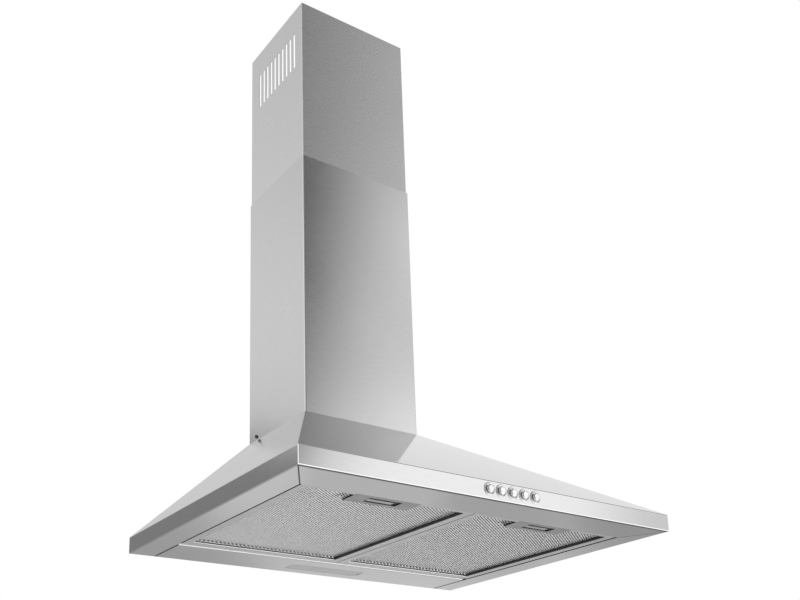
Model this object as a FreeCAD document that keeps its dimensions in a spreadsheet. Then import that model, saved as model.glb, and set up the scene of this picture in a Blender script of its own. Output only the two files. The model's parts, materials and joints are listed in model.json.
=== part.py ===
"""Wall-mounted chimney range hood, 600 mm wide, as an assembly of separate pieces.

X runs to the right as seen from the front, Y towards the wall and Z up. The origin is the
middle of the canopy's bottom rear edge, on the wall plane, so every Y is zero or negative.
"""
import FreeCAD, Part
import math
import os
import Sketcher
from types import SimpleNamespace

# Driving dimensions in millimetres, grouped by the piece that they belong to.
DRIVING = {
    # canopy of folded stainless sheet
    "canopy_width": 600.0,
    "canopy_depth": 480.0,
    "skirt_height": 24.0,
    "slope_height": 178.0,
    "sheet": 0.8,
    "seam": 0.15,
    "mitre_gap": 0.8,
    "canopy_bend": 1.8,
    "corner_bevel_depth": 0.8,
    "corner_bevel_width": 0.45,
    "front_flange": 60.0,
    "side_flange": 38.0,
    "front_lip": 5.5,
    "side_lip": 12.0,
    "top_flange": 15.0,
    # hanging holes in the back plate
    "hanger_spacing": 220.0,
    "hanger_level": 150.0,
    "hanger_radius": 4.0,
    # chimney covers
    "chimney_width": 206.0,
    "chimney_depth": 173.0,
    "chimney_height": 430.0,
    "upper_side_gap": 0.8,
    "upper_front_gap": 1.0,
    "upper_reach": 288.0,
    "upper_length": 418.0,
    "upper_back_gap": 0.5,
    "chimney_bend": 2.0,
    "slot_width": 6.0,
    "slot_height": 64.0,
    "slot_pitch": 12.8,
    "slot_drop": 45.0,
    "slot_row_middle": 88.0,
    # pads between the two chimney covers
    "guide_length": 30.0,
    "guide_height": 12.0,
    "guide_drop": 10.0,
    "guide_spread": 92.0,
    "guide_play": 0.2,
    # wall bracket inside the upper chimney, below its slots
    "bracket_thick": 1.5,
    "bracket_height": 30.0,
    "bracket_drop": 125.0,
    "bracket_arm": 40.0,
    "bracket_gap": 0.2,
    "bracket_hole_spacing": 120.0,
    "bracket_hole_radius": 3.0,
    # deck on top of the canopy
    "deck_thick": 1.0,
    "deck_gap": 0.2,
    "deck_upstand": 14.0,
    # screws
    "screw_radius": 1.5,
    "screw_play": 0.1,
    "screw_head_radius": 2.75,
    "screw_head": 1.8,
    "screw_grip": 3.0,
    "chimney_screw_level": 6.0,
    "chimney_screw_inset": 23.0,
    "deck_screw_inset": 7.5,
    "deck_screw_back": 25.0,
    "deck_screw_setback": 28.0,
    "outlet_screw_inset": 6.0,
    "lamp_screw_level": 7.0,
    "lamp_screw_back": 20.0,
    "lamp_screw_front": 62.0,
    # blower scroll
    "scroll_radius": 74.0,
    "scroll_wall": 2.0,
    "scroll_width": 84.0,
    "scroll_setback": 112.0,
    "scroll_drop": 91.0,
    "throat": 10.0,
    "inlet_radius": 46.0,
    "outlet_flange_width": 124.0,
    "outlet_flange_thick": 2.5,
    # impeller and motor
    "impeller_shift_front": 3.5,
    "impeller_shift_up": 6.0,
    "impeller_radius": 58.0,
    "impeller_width": 70.0,
    "blade_depth": 10.0,
    "blade_thick": 1.2,
    "blade_lean": 5.0,
    "blade_inset": 0.6,
    "impeller_disc": 2.0,
    "impeller_rim": 3.0,
    "hub_radius": 10.0,
    "hub_length": 12.0,
    "shaft_radius": 4.0,
    "shaft_play": 0.05,
    "shaft_overhang": 4.0,
    "motor_bore_depth": 24.0,
    "shaft_end_gap": 2.0,
    "motor_gap": 6.0,
    "motor_radius": 32.0,
    "motor_length": 72.0,
    "motor_rim_radius": 37.0,
    "motor_rim": 3.0,
    "bracket_plate": 3.0,
    "bracket_ring": 9.0,
    "bracket_ring_gap": 0.5,
    "motor_fit": 0.1,
    "arm_width": 8.0,
    "grille_thick": 3.0,
    "grille_ring": 2.0,
    "grille_inner_radius": 16.0,
    "grille_middle_radius": 30.0,
    "spoke_width": 3.0,
    # outlet collar and backdraught flaps
    "collar_radius": 60.0,
    "collar_wall": 2.0,
    "collar_height": 55.0,
    "collar_base_margin": 3.0,
    "collar_base_thick": 2.0,
    "flap_level": 32.0,
    "flap_thick": 1.2,
    "flap_gap": 1.0,
    "flap_root": 4.0,
    "flap_pin_radius": 2.0,
    "flap_pin_play": 0.1,
    "knuckle_radius": 3.6,
    "knuckle_length": 20.0,
    "knuckle_gap": 2.0,
    "flap_seat_width": 2.5,
    "flap_seat_height": 2.0,
    "flap_seat_gap": 0.3,
    # lamp panel, rail and lamp
    "lamp_panel_depth": 82.0,
    "lamp_panel_gap": 0.2,
    "lamp_panel_lip": 10.0,
    "lamp_panel_groove": 3.0,
    "groove_depth": 3.0,
    "lamp_panel_bend": 1.6,
    "lens_length": 130.0,
    "lens_width": 28.0,
    "lens_shift": 13.0,
    "lens_thick": 2.0,
    "lens_corner": 6.0,
    "lens_gap": 0.8,
    "lens_setback": 37.0,
    "notch_length": 8.0,
    "notch_width": 2.5,
    "lamp_margin": 5.0,
    "lamp_height": 16.0,
    "lamp_wall": 1.5,
    "board_thick": 1.6,
    "board_margin": 3.0,
    "led_size": 4.0,
    "led_thick": 1.0,
    "led_pitch": 18.0,
    # grease filters
    "filter_gap": 1.5,
    "filter_play": 1.0,
    "filter_side_play": 3.2,
    "filter_level": 0.4,
    "filter_thick": 9.6,
    "filter_border": 12.0,
    "filter_front_border": 6.5,
    "filter_border_thick": 4.5,
    "filter_wall": 1.0,
    "filter_mesh": 0.8,
    "filter_core": 1.2,
    "filter_fit": 0.2,
    "hinge_level": 6.0,
    "bead_radius": 3.0,
    "bead_play": 0.3,
    "bead_setback": 5.0,
    "bead_web": 1.6,
    "rail_nose": 0.9,
    "rail_depth": 6.9,
    "rail_floor": 1.0,
    # filter latches
    "latch_shift": 4.0,
    "latch_plate_length": 96.0,
    "latch_plate_width": 31.5,
    "latch_wall": 1.0,
    "latch_floor": 1.6,
    "latch_fit": 0.3,
    "latch_front_gap": 0.5,
    "latch_depth": 8.6,
    "latch_travel": 4.5,
    "finger_slot_length": 48.0,
    "finger_slot_width": 17.0,
    "finger_slot_inset": 6.5,
    "finger_pad_length": 38.0,
    "finger_pad_shift": 4.0,
    "finger_pad_width": 7.4,
    "finger_pad_gap": 4.2,
    "finger_pad_recess": 0.2,
    "slider_lift": 0.4,
    "slider_thick": 2.0,
    "slider_length": 60.0,
    "slider_boss": 4.0,
    "slider_boss_length": 16.0,
    "tongue_length": 30.0,
    "tongue_lift": 0.7,
    "tongue_thick": 2.0,
    "latch_spring_length": 4.6,
    "latch_spring_radius": 1.8,
    "latch_spring_wire": 0.25,
    "latch_spring_pitch": 1.1,
    # push buttons and switch block
    "button_shift": 9.5,
    "button_pitch": 19.0,
    "button_level": 13.0,
    "button_radius": 5.3,
    "button_play": 0.2,
    "button_proud": 4.0,
    "button_round": 1.6,
    "button_collar_radius": 6.3,
    "button_collar_gap": 0.2,
    "button_body": 13.0,
    "button_stem_radius": 2.0,
    "button_stem": 17.0,
    "switch_length": 104.0,
    "switch_depth": 39.2,
    "switch_top_gap": 1.0,
    "switch_bore_depth": 24.2,
    "switch_bore_play": 0.3,
    "button_spring_radius": 3.5,
    "button_spring_wire": 0.35,
    "button_spring_pitch": 2.2,
    "spring_end_gap": 0.1,
    "bezel_ring_radius": 7.4,
    "bezel_wire": 1.2,
    # terminal box, grommet and leads
    "terminal_length": 80.0,
    "terminal_depth": 60.0,
    "terminal_height": 30.0,
    "terminal_wall": 2.0,
    "terminal_gap": 42.0,
    "terminal_back": 12.0,
    "capacitor_radius": 12.0,
    "capacitor_length": 50.0,
    "capacitor_cap": 2.0,
    "grommet_bore": 4.0,
    "grommet_neck": 7.0,
    "grommet_rim": 8.5,
    "grommet_rim_thick": 2.0,
    "grommet_margin": 12.0,
    "grommet_back": 30.0,
    "lead_radius": 3.0,
    "lamp_lead_radius": 2.5,
    "lamp_lead_level": 8.0,
    "lead_bend": 18.0,
    "motor_lead_bend": 30.0,
    "switch_lead_level": 11.2,
    "terminal_lead_level": 21.2,
    "lead_wall_gap": 18.2,
    # how far cutting shapes run past what they cut
    "overrun": 1.0,
}

SLOT_COUNT = 10
BLADE_COUNT = 30
ARM_COUNT = 3
SPOKE_COUNT = 4
LED_COUNT = 6
BUTTON_NAMES = ("button_off", "button_speed_1", "button_speed_2", "button_speed_3", "button_light")

doc = FreeCAD.newDocument("RangeHood")
sheet = doc.addObject("Spreadsheet::Sheet", "Sizes")
for row, (alias, length) in enumerate(DRIVING.items(), start=1):
    sheet.set(f"A{row}", alias)
    sheet.set(f"B{row}", str(length))
    sheet.setAlias(f"B{row}", alias)
doc.recompute()

pieces = []


class Size:
    """A length: its number now, and the sheet expression that keeps it up to date."""

    def __init__(self, number, text):
        self.number = number
        self.text = text

    def __add__(self, other):
        other = as_size(other)
        return Size(self.number + other.number, f"({self.text} + {other.text})")

    def __radd__(self, other):
        return as_size(other) + self

    def __sub__(self, other):
        other = as_size(other)
        return Size(self.number - other.number, f"({self.text} - {other.text})")

    def __rsub__(self, other):
        return as_size(other) - self

    def __mul__(self, other):
        other = as_size(other)
        return Size(self.number * other.number, f"({self.text} * {other.text})")

    def __rmul__(self, other):
        return as_size(other) * self

    def __truediv__(self, other):
        other = as_size(other)
        return Size(self.number / other.number, f"({self.text} / {other.text})")

    def __neg__(self):
        return Size(-self.number, f"(0 - {self.text})")


def as_size(value):
    """The value as a Size; a plain number stays the number that it is."""
    if isinstance(value, Size):
        return value
    return Size(float(value), repr(float(value)))


def root(value):
    """Square root of a Size."""
    return Size(math.sqrt(value.number), f"sqrt({value.text})")


size = SimpleNamespace(**{
    alias: Size(float(getattr(sheet, alias)), f"Sizes.{alias}") for alias in DRIVING
})


# Building blocks, each bound to the sheet

AXIS_TURNS = {
    "x": FreeCAD.Rotation(FreeCAD.Vector(0, 1, 0), 90),
    "y": FreeCAD.Rotation(FreeCAD.Vector(1, 0, 0), -90),
    "z": FreeCAD.Rotation(),
}


def bind(item, property_name, value):
    item.setExpression(property_name, as_size(value).text)


def place(item, x, y, z):
    bind(item, "Placement.Base.x", x)
    bind(item, "Placement.Base.y", y)
    bind(item, "Placement.Base.z", z)
    return item


def box(x_span, y_span, z_span):
    """A block between two values along each axis."""
    item = doc.addObject("Part::Box", "block")
    bind(item, "Length", x_span[1] - x_span[0])
    bind(item, "Width", y_span[1] - y_span[0])
    bind(item, "Height", z_span[1] - z_span[0])
    return place(item, x_span[0], y_span[0], z_span[0])


def rod(axis, radius, span, first, second):
    """A round bar along an axis, centred at the other two coordinates in X, Y, Z order."""
    item = doc.addObject("Part::Cylinder", "rod")
    bind(item, "Radius", radius)
    bind(item, "Height", span[1] - span[0])
    item.Placement = FreeCAD.Placement(FreeCAD.Vector(), AXIS_TURNS[axis])
    start = {
        "x": (span[0], first, second),
        "y": (first, span[0], second),
        "z": (first, second, span[0]),
    }
    return place(item, *start[axis])


def cut(base, *tools):
    """The base with each tool taken out of it."""
    for tool in tools:
        result = doc.addObject("Part::Cut", "cut")
        result.Base = base
        result.Tool = tool
        base = result
    return base


def fuse(*items):
    result = doc.addObject("Part::MultiFuse", "fuse")
    result.Shapes = list(items)
    result.Refine = True
    return result


def common(first, second):
    result = doc.addObject("Part::Common", "common")
    result.Base = first
    result.Tool = second
    return result


def group(*items):
    """Separate solids kept together in one piece, such as a set of screws."""
    result = doc.addObject("Part::Compound", "group")
    result.Links = list(items)
    return result


def finish(label, item):
    """Give a finished piece the name of its file."""
    item.Label = label
    pieces.append(item)
    return item


def new_body(name):
    return doc.addObject("PartDesign::Body", name)


def origin_feature(body, role):
    return next(item for item in body.Origin.OriginFeatures if item.Role == role)


def new_sketch(body, plane, level=0):
    """A sketch on one of the body's own planes, moved along the plane's normal."""
    drawing = body.newObject("Sketcher::SketchObject", "drawing")
    drawing.AttachmentSupport = [(origin_feature(body, plane), "")]
    drawing.MapMode = "FlatFace"
    bind(drawing, "AttachmentOffset.Base.z", level)
    return drawing


def pin_point(drawing, geometry, vertex, point):
    """Tie a vertex of the sketch to its two named distances from the origin."""
    for kind, value in zip(("DistanceX", "DistanceY"), point):
        value = as_size(value)
        index = drawing.addConstraint(Sketcher.Constraint(kind, -1, 1, geometry, vertex, value.number))
        drawing.setExpression(f"Constraints[{index}]", value.text)


def draw_outline(drawing, points):
    """A closed outline of straight lines."""
    first = drawing.GeometryCount
    count = len(points)
    corners = [FreeCAD.Vector(as_size(u).number, as_size(v).number, 0) for u, v in points]
    for index in range(count):
        drawing.addGeometry(Part.LineSegment(corners[index], corners[(index + 1) % count]))
    for index in range(count):
        following = first + (index + 1) % count
        drawing.addConstraint(Sketcher.Constraint("Coincident", first + index, 2, following, 1))
    for index, point in enumerate(points):
        pin_point(drawing, first + index, 1, point)


def draw_circle(drawing, radius):
    """A circle about the sketch's own origin."""
    radius = as_size(radius)
    index = drawing.addGeometry(Part.Circle(FreeCAD.Vector(), FreeCAD.Vector(0, 0, 1), radius.number))
    drawing.addConstraint(Sketcher.Constraint("Coincident", index, 3, -1, 1))
    number = drawing.addConstraint(Sketcher.Constraint("Radius", index, radius.number))
    drawing.setExpression(f"Constraints[{number}]", radius.text)


def pad(body, drawing, length):
    feature = body.newObject("PartDesign::Pad", "pad")
    feature.Profile = drawing
    bind(feature, "Length", length)
    return feature


def pocket_through(body, drawing):
    """Cut the sketch right through, both ways."""
    feature = body.newObject("PartDesign::Pocket", "pocket")
    feature.Profile = drawing
    feature.Type = "ThroughAll"
    feature.SideType = "Symmetric"
    return feature


def pocket_upward(body, drawing, length):
    """Cut from the sketch along its normal, to a set height."""
    feature = body.newObject("PartDesign::Pocket", "pocket")
    feature.Profile = drawing
    feature.Reversed = True
    bind(feature, "Length", length)
    return feature


def polar_pattern(body, feature, role, count):
    pattern = body.newObject("PartDesign::PolarPattern", "pattern")
    pattern.Originals = [feature]
    pattern.Axis = (origin_feature(body, role), [""])
    pattern.Angle = 360
    pattern.Occurrences = count
    body.Tip = pattern
    return pattern


def round_edges(body, base, radius, places):
    """Round the edges of the base feature that pass through the given places."""
    doc.recompute()
    names = []
    for place_sizes in places:
        spot = Part.Vertex(*[as_size(value).number for value in place_sizes])
        gaps = [edge.distToShape(spot)[0] for edge in base.Shape.Edges]
        names.append(f"Edge{gaps.index(min(gaps)) + 1}")
    feature = body.newObject("PartDesign::Fillet", "bend")
    feature.Base = (base, names)
    bind(feature, "Radius", radius)
    return feature


def rounded_block(x_span, y_span, z_span, radius):
    """A block whose four upright edges are rounded."""
    body = new_body("rounded_block")
    drawing = new_sketch(body, "XY_Plane", z_span[0])
    corners = [(x, y) for x in x_span for y in y_span]
    draw_outline(drawing, [corners[0], corners[2], corners[3], corners[1]])
    height = z_span[1] - z_span[0]
    base = pad(body, drawing, height)
    round_edges(body, base, radius, [(x, y, z_span[0] + height / 2) for x, y in corners])
    return body


def coil(radius, wire, pitch, length, turn_axis):
    """A round-wire spring along +Z or turned to another axis, starting at the origin."""
    spine = doc.addObject("Part::Helix", "spine")
    bind(spine, "Radius", radius)
    bind(spine, "Pitch", pitch)
    bind(spine, "Height", length)
    section = doc.addObject("Part::Circle", "section")
    bind(section, "Radius", wire)
    section.Placement = FreeCAD.Placement(FreeCAD.Vector(), FreeCAD.Rotation(FreeCAD.Vector(1, 0, 0), 90))
    place(section, radius, 0, 0)
    spring = doc.addObject("Part::Sweep", "spring")
    spring.Sections = [section]
    spring.Spine = (spine, ["Edge1"])
    spring.Solid = True
    spring.Frenet = True
    spring.Placement = FreeCAD.Placement(FreeCAD.Vector(), AXIS_TURNS[turn_axis])
    return spring


def screw(axis, toward, seat, tip, first, second):
    """A pan-head screw: its head stands on the seat, its shank ends at the tip."""
    head_end = seat - size.screw_head * toward
    head_span = (seat, head_end) if toward < 0 else (head_end, seat)
    shank_span = (tip, seat) if toward < 0 else (seat, tip)
    return fuse(
        rod(axis, size.screw_head_radius, head_span, first, second),
        rod(axis, size.screw_radius, shank_span, first, second),
    )


# Levels and places that several pieces share

half_width = size.canopy_width / 2
half_chimney = size.chimney_width / 2
canopy_top = size.skirt_height + size.slope_height
deck_top = canopy_top + size.deck_thick
chimney_top = canopy_top + size.chimney_height
upper_width = size.chimney_width - 2 * (size.sheet + size.upper_side_gap)
upper_depth = size.chimney_depth - size.sheet - size.upper_front_gap
upper_top = chimney_top + size.upper_reach
upper_bottom = upper_top - size.upper_length
bay_half = half_width - size.side_flange
bay_front = size.canopy_depth - size.front_flange
mitre_share = size.front_flange / size.side_flange
screw_hole = size.screw_radius + size.screw_play
scroll_y = -size.scroll_setback
scroll_z = canopy_top - size.scroll_drop
fan_y = scroll_y - size.impeller_shift_front
fan_z = scroll_z + size.impeller_shift_up
outlet_y_span = (scroll_y - size.throat, scroll_y + size.scroll_radius)
outlet_y = (outlet_y_span[0] + outlet_y_span[1]) / 2
scroll_half = size.scroll_width / 2
throat_half = scroll_half - size.scroll_wall
flap_z = deck_top + size.flap_level
hinge_y = -(size.lamp_panel_depth + size.rail_depth - size.rail_nose)
filter_front = bay_front - size.filter_play
filter_top = size.filter_level + size.filter_thick
mesh_level = size.filter_level + size.filter_border_thick
switch_back = size.canopy_depth - size.sheet - size.switch_depth
button_count = len(BUTTON_NAMES)
button_places = [
    size.button_shift + size.button_pitch * (index - (button_count - 1) / 2)
    for index in range(button_count)
]
switch_x_span = (size.button_shift - size.switch_length / 2, size.button_shift + size.switch_length / 2)
deck_screw_x = half_chimney - size.deck_screw_inset
deck_screw_places = [
    (side * deck_screw_x, -distance)
    for side in (-1, 1)
    for distance in (size.deck_screw_back, size.chimney_depth - size.deck_screw_setback)
]
outlet_screw_reach = size.outlet_flange_width / 2 - size.outlet_screw_inset
outlet_screw_places = [
    (x * outlet_screw_reach, outlet_y + y * outlet_screw_reach) for x in (-1, 1) for y in (-1, 1)
]
lamp_screw_places = [-size.lamp_screw_back, -size.lamp_screw_front]
lens_x_span = (size.lens_shift - size.lens_length / 2, size.lens_shift + size.lens_length / 2)
lens_y_span = (-size.lens_setback - size.lens_width / 2, -size.lens_setback + size.lens_width / 2)
lamp_end = lens_x_span[1] + size.lamp_margin
terminal_x_span = (lamp_end + size.terminal_gap, lamp_end + size.terminal_gap + size.terminal_length)
grommet_x = size.outlet_flange_width / 2 + size.grommet_margin


def grown(span, margin):
    """The span made longer by a margin at each end."""
    return (span[0] - margin, span[1] + margin)


def mirrored(span, side):
    """The span on the right, or its mirror image on the left."""
    return span if side > 0 else (-span[1], -span[0])


# Canopy


def panel_profile(outer, top, flange, lip):
    """Section of a folded panel: distance outward, and height.

    The sheet runs from the lip along the underside flange, up the skirt band, up the slope
    and in again along the top flange.
    """
    run = outer - top
    rise = size.slope_height
    level_skin = size.sheet * root(run * run + rise * rise) / rise
    bend_dip = (level_skin - size.sheet) * rise / run
    edge = outer - flange
    under_top = canopy_top - size.sheet
    return [
        (edge, lip),
        (edge, as_size(0)),
        (outer, as_size(0)),
        (outer, size.skirt_height),
        (top, canopy_top),
        (top - size.top_flange, canopy_top),
        (top - size.top_flange, under_top),
        (top + size.sheet * run / rise - level_skin, under_top),
        (outer - size.sheet, size.skirt_height - bend_dip),
        (outer - size.sheet, size.sheet),
        (edge + size.sheet, size.sheet),
        (edge + size.sheet, lip),
    ]


front_profile = panel_profile(size.canopy_depth, size.chimney_depth, size.front_flange, size.front_lip)
side_profile = panel_profile(half_width, half_chimney, size.side_flange, size.side_lip)


def make_front_panel():
    body = new_body("front_sheet")
    drawing = new_sketch(body, "YZ_Plane", -half_width)
    draw_outline(drawing, [(-outward, height) for outward, height in front_profile])
    pad(body, drawing, size.canopy_width)
    # the slope narrows to the chimney's width
    hips = new_sketch(body, "XZ_Plane")
    for side in (-1, 1):
        beyond = side * (half_width + size.overrun)
        above = canopy_top + size.overrun
        draw_outline(hips, [
            (side * half_width, size.skirt_height),
            (beyond, size.skirt_height),
            (beyond, above),
            (side * half_chimney, above),
            (side * half_chimney, canopy_top),
        ])
    pocket_through(body, hips)
    # the underside flange meets the side flanges in a mitre
    mitres = new_sketch(body, "XY_Plane")
    for side in (-1, 1):
        beyond = side * (half_width + size.overrun)
        behind = size.overrun - bay_front
        front = size.sheet - size.canopy_depth
        corner = size.sheet + size.seam
        draw_outline(mitres, [
            (side * (half_width - corner), front),
            (side * (half_width - corner), corner * mitre_share - size.canopy_depth),
            (side * bay_half, -bay_front),
            (side * bay_half, behind),
            (beyond, behind),
            (beyond, front),
        ])
    mitre = pocket_upward(body, mitres, size.front_lip)
    round_edges(body, mitre, size.canopy_bend, [
        (0, -size.canopy_depth, 0),
        (0, -size.canopy_depth, size.skirt_height),
    ])
    # the band's upright corners are bevelled
    bevels = new_sketch(body, "XY_Plane")
    for side in (-1, 1):
        beyond = side * (half_width + size.overrun)
        inside = side * (half_width - size.corner_bevel_width)
        behind = size.corner_bevel_depth - size.canopy_depth
        ahead = -size.canopy_depth - size.overrun
        draw_outline(bevels, [
            (inside, -size.canopy_depth),
            (side * half_width, behind),
            (beyond, behind),
            (beyond, ahead),
            (inside, ahead),
        ])
    pocket_upward(body, bevels, size.skirt_height)
    front_face = (-size.canopy_depth - size.overrun, size.sheet + size.overrun - size.canopy_depth)
    hole = size.button_radius + size.button_play
    holes = [rod("y", hole, front_face, x, size.button_level) for x in button_places]
    finish("canopy_front_panel", cut(body, *holes))


def make_side_panel(label, side):
    body = new_body("side_sheet")
    drawing = new_sketch(body, "XZ_Plane", size.sheet)
    draw_outline(drawing, [(side * outward, height) for outward, height in side_profile])
    pad(body, drawing, size.canopy_depth - size.sheet)
    # its front edge butts against the inside of the front panel
    trim = new_sketch(body, "YZ_Plane")
    inner = [(size.seam - outward, height) for outward, height in front_profile]
    ahead = -size.canopy_depth - size.overrun
    above = canopy_top + size.overrun
    draw_outline(trim, [
        (inner[9][0], -size.overrun),
        inner[8],
        inner[7],
        inner[6],
        (inner[6][0], above),
        (ahead, above),
        (ahead, -size.overrun),
    ])
    pocket_through(body, trim)
    mitre = new_sketch(body, "XY_Plane")
    inside = side * (bay_half - size.overrun)
    draw_outline(mitre, [
        (side * (half_width - size.sheet), size.sheet * mitre_share + size.mitre_gap - size.canopy_depth),
        (side * bay_half, size.mitre_gap - bay_front),
        (inside, size.mitre_gap - bay_front),
        (inside, ahead),
        (side * (half_width - size.sheet), ahead),
    ])
    base = pocket_upward(body, mitre, size.side_lip)
    middle = -size.canopy_depth / 2
    round_edges(body, base, size.canopy_bend, [
        (side * half_width, middle, 0),
        (side * half_width, middle, size.skirt_height),
    ])
    lip_span = mirrored(grown((bay_half, bay_half + size.sheet), size.overrun), side)
    flange_span = grown((canopy_top - size.sheet, canopy_top), size.overrun)
    holes = [rod("x", screw_hole, lip_span, y, size.lamp_screw_level) for y in lamp_screw_places]
    for x, y in deck_screw_places:
        if x.number * side > 0:
            holes.append(rod("z", screw_hole, flange_span, x, y))
    finish(label, cut(body, *holes))


def make_back_plate():
    body = new_body("back_sheet")
    drawing = new_sketch(body, "XZ_Plane")
    outline = [(half_width, as_size(0)), (half_width, size.skirt_height), (half_chimney, canopy_top)]
    draw_outline(drawing, outline + [(-x, z) for x, z in reversed(outline)])
    pad(body, drawing, size.sheet)
    span = (-size.sheet - size.overrun, size.overrun)
    reach = size.hanger_spacing / 2
    holes = [rod("y", size.hanger_radius, span, side * reach, size.hanger_level) for side in (-1, 1)]
    finish("canopy_back_plate", cut(body, *holes))


def make_lamp_panel():
    """Strip with a rounded front lip. A groove sets each end off from the side flange."""
    edge = bay_half - size.lamp_panel_gap
    face_edge = edge - size.lamp_panel_groove
    front = -size.lamp_panel_depth
    body = new_body("lamp_sheet")
    drawing = new_sketch(body, "YZ_Plane", -face_edge)
    draw_outline(drawing, [
        (front, as_size(0)),
        (-size.sheet, as_size(0)),
        (-size.sheet, size.sheet),
        (front + size.sheet, size.sheet),
        (front + size.sheet, size.hinge_level),
        (front, size.hinge_level),
    ])
    strip = pad(body, drawing, 2 * face_edge)
    round_edges(body, strip, size.lamp_panel_bend, [(0, front, 0)])
    y_span = (front + size.lamp_panel_bend, -size.sheet)
    shelf_z = (size.groove_depth, size.groove_depth + size.sheet)
    opening = rounded_block(
        grown(lens_x_span, size.lens_gap),
        grown(lens_y_span, size.lens_gap),
        (-size.overrun, size.sheet + size.overrun),
        size.lens_corner + size.lens_gap,
    )
    ends = []
    holes = []
    for side in (-1, 1):
        ends.append(box(mirrored((face_edge - size.sheet, face_edge), side), y_span, (0, shelf_z[1])))
        ends.append(box(mirrored((face_edge - size.sheet, edge), side), y_span, shelf_z))
        lip_x = (edge - size.sheet, edge)
        ends.append(box(mirrored(lip_x, side), y_span, (shelf_z[0], size.lamp_panel_lip)))
        span = mirrored(grown(lip_x, size.overrun), side)
        holes += [rod("x", screw_hole, span, y, size.lamp_screw_level) for y in lamp_screw_places]
    finish("lamp_panel", cut(fuse(body, *ends), opening, *holes))


def make_filter_rail():
    edge = bay_half - size.filter_side_play
    groove = size.bead_radius + size.bead_play
    y_span = (-size.lamp_panel_depth - size.rail_depth, -size.lamp_panel_depth)
    z_span = (size.hinge_level - groove - size.rail_floor, size.hinge_level)
    bar = box((-edge, edge), y_span, z_span)
    bore = rod("x", groove, grown((-edge, edge), size.overrun), hinge_y, size.hinge_level)
    finish("filter_rail", cut(bar, bore))


def make_top_frame():
    edge = half_chimney - size.sheet - size.deck_gap
    y_span = (size.chimney_bend + size.deck_gap - size.chimney_depth, -size.sheet)
    plate = box((-edge, edge), y_span, (canopy_top, deck_top))
    upstand_top = deck_top + size.deck_upstand
    upstands = [
        box(mirrored((edge - size.deck_thick, edge), side), y_span, (canopy_top, upstand_top))
        for side in (-1, 1)
    ]
    through = grown((canopy_top, deck_top), size.overrun)
    opening = box((-throat_half, throat_half), outlet_y_span, through)
    holes = [rod("z", screw_hole, through, x, y) for x, y in deck_screw_places + outlet_screw_places]
    holes.append(rod("z", size.grommet_neck, through, grommet_x, -size.grommet_back))
    holes.append(rod(
        "x", screw_hole, grown((-edge, edge), size.overrun),
        -size.chimney_screw_inset, canopy_top + size.chimney_screw_level,
    ))
    finish("top_frame", cut(fuse(plate, *upstands), opening, *holes))


# Chimney


def channel_cover(name, width, depth, back, z_span):
    """A cover folded round the front and both sides, open at the wall."""
    body = new_body(name)
    drawing = new_sketch(body, "XY_Plane", z_span[0])
    outside = width / 2
    inside = outside - size.sheet
    draw_outline(drawing, [
        (-outside, -back),
        (-outside, -depth),
        (outside, -depth),
        (outside, -back),
        (inside, -back),
        (inside, size.sheet - depth),
        (-inside, size.sheet - depth),
        (-inside, -back),
    ])
    base = pad(body, drawing, z_span[1] - z_span[0])
    middle = (z_span[0] + z_span[1]) / 2
    outer_bends = [(side * outside, -depth, middle) for side in (-1, 1)]
    inner_bends = [(side * inside, size.sheet - depth, middle) for side in (-1, 1)]
    rounded = round_edges(body, base, size.chimney_bend, outer_bends)
    round_edges(body, rounded, size.chimney_bend - size.sheet, inner_bends)
    return body


def make_lower_chimney():
    body = channel_cover(
        "lower_cover", size.chimney_width, size.chimney_depth, as_size(0), (canopy_top, chimney_top))
    hole = rod(
        "x", screw_hole, grown((-half_chimney, half_chimney), size.overrun),
        -size.chimney_screw_inset, canopy_top + size.chimney_screw_level,
    )
    finish("lower_chimney", cut(body, hole))


def make_upper_chimney():
    body = channel_cover(
        "upper_cover", upper_width, upper_depth, size.upper_back_gap, (upper_bottom, upper_top))
    slots = new_sketch(body, "YZ_Plane")
    row_length = size.slot_pitch * (SLOT_COUNT - 1)
    first = -size.slot_row_middle - row_length / 2
    y_span = (first - size.slot_width / 2, first + size.slot_width / 2)
    slot_top = upper_top - size.slot_drop
    slot_bottom = slot_top - size.slot_height
    draw_outline(slots, [
        (y_span[0], slot_bottom),
        (y_span[1], slot_bottom),
        (y_span[1], slot_top),
        (y_span[0], slot_top),
    ])
    slot = pocket_through(body, slots)
    row = body.newObject("PartDesign::LinearPattern", "slot_row")
    row.Originals = [slot]
    row.Direction = (origin_feature(body, "Y_Axis"), [""])
    bind(row, "Length", row_length)
    row.Occurrences = SLOT_COUNT
    body.Tip = row
    finish("upper_chimney", body)


def make_chimney_guides():
    """Pads inside the top of the lower cover, on which the upper one slides."""
    pad_top = chimney_top - size.guide_drop
    z_span = (pad_top - size.guide_height, pad_top)
    side_x = (upper_width / 2 + size.guide_play, half_chimney - size.sheet)
    front_y = (size.sheet - size.chimney_depth, -upper_depth - size.guide_play)
    half = size.guide_length / 2
    pads = []
    for end in (-1, 1):
        reach = end * size.guide_spread / 2
        pads.append(box((reach - half, reach + half), front_y, z_span))
        middle = reach - upper_depth / 2
        for side in (-1, 1):
            pads.append(box(mirrored(side_x, side), (middle - half, middle + half), z_span))
    finish("chimney_guides", group(*pads))


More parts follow.
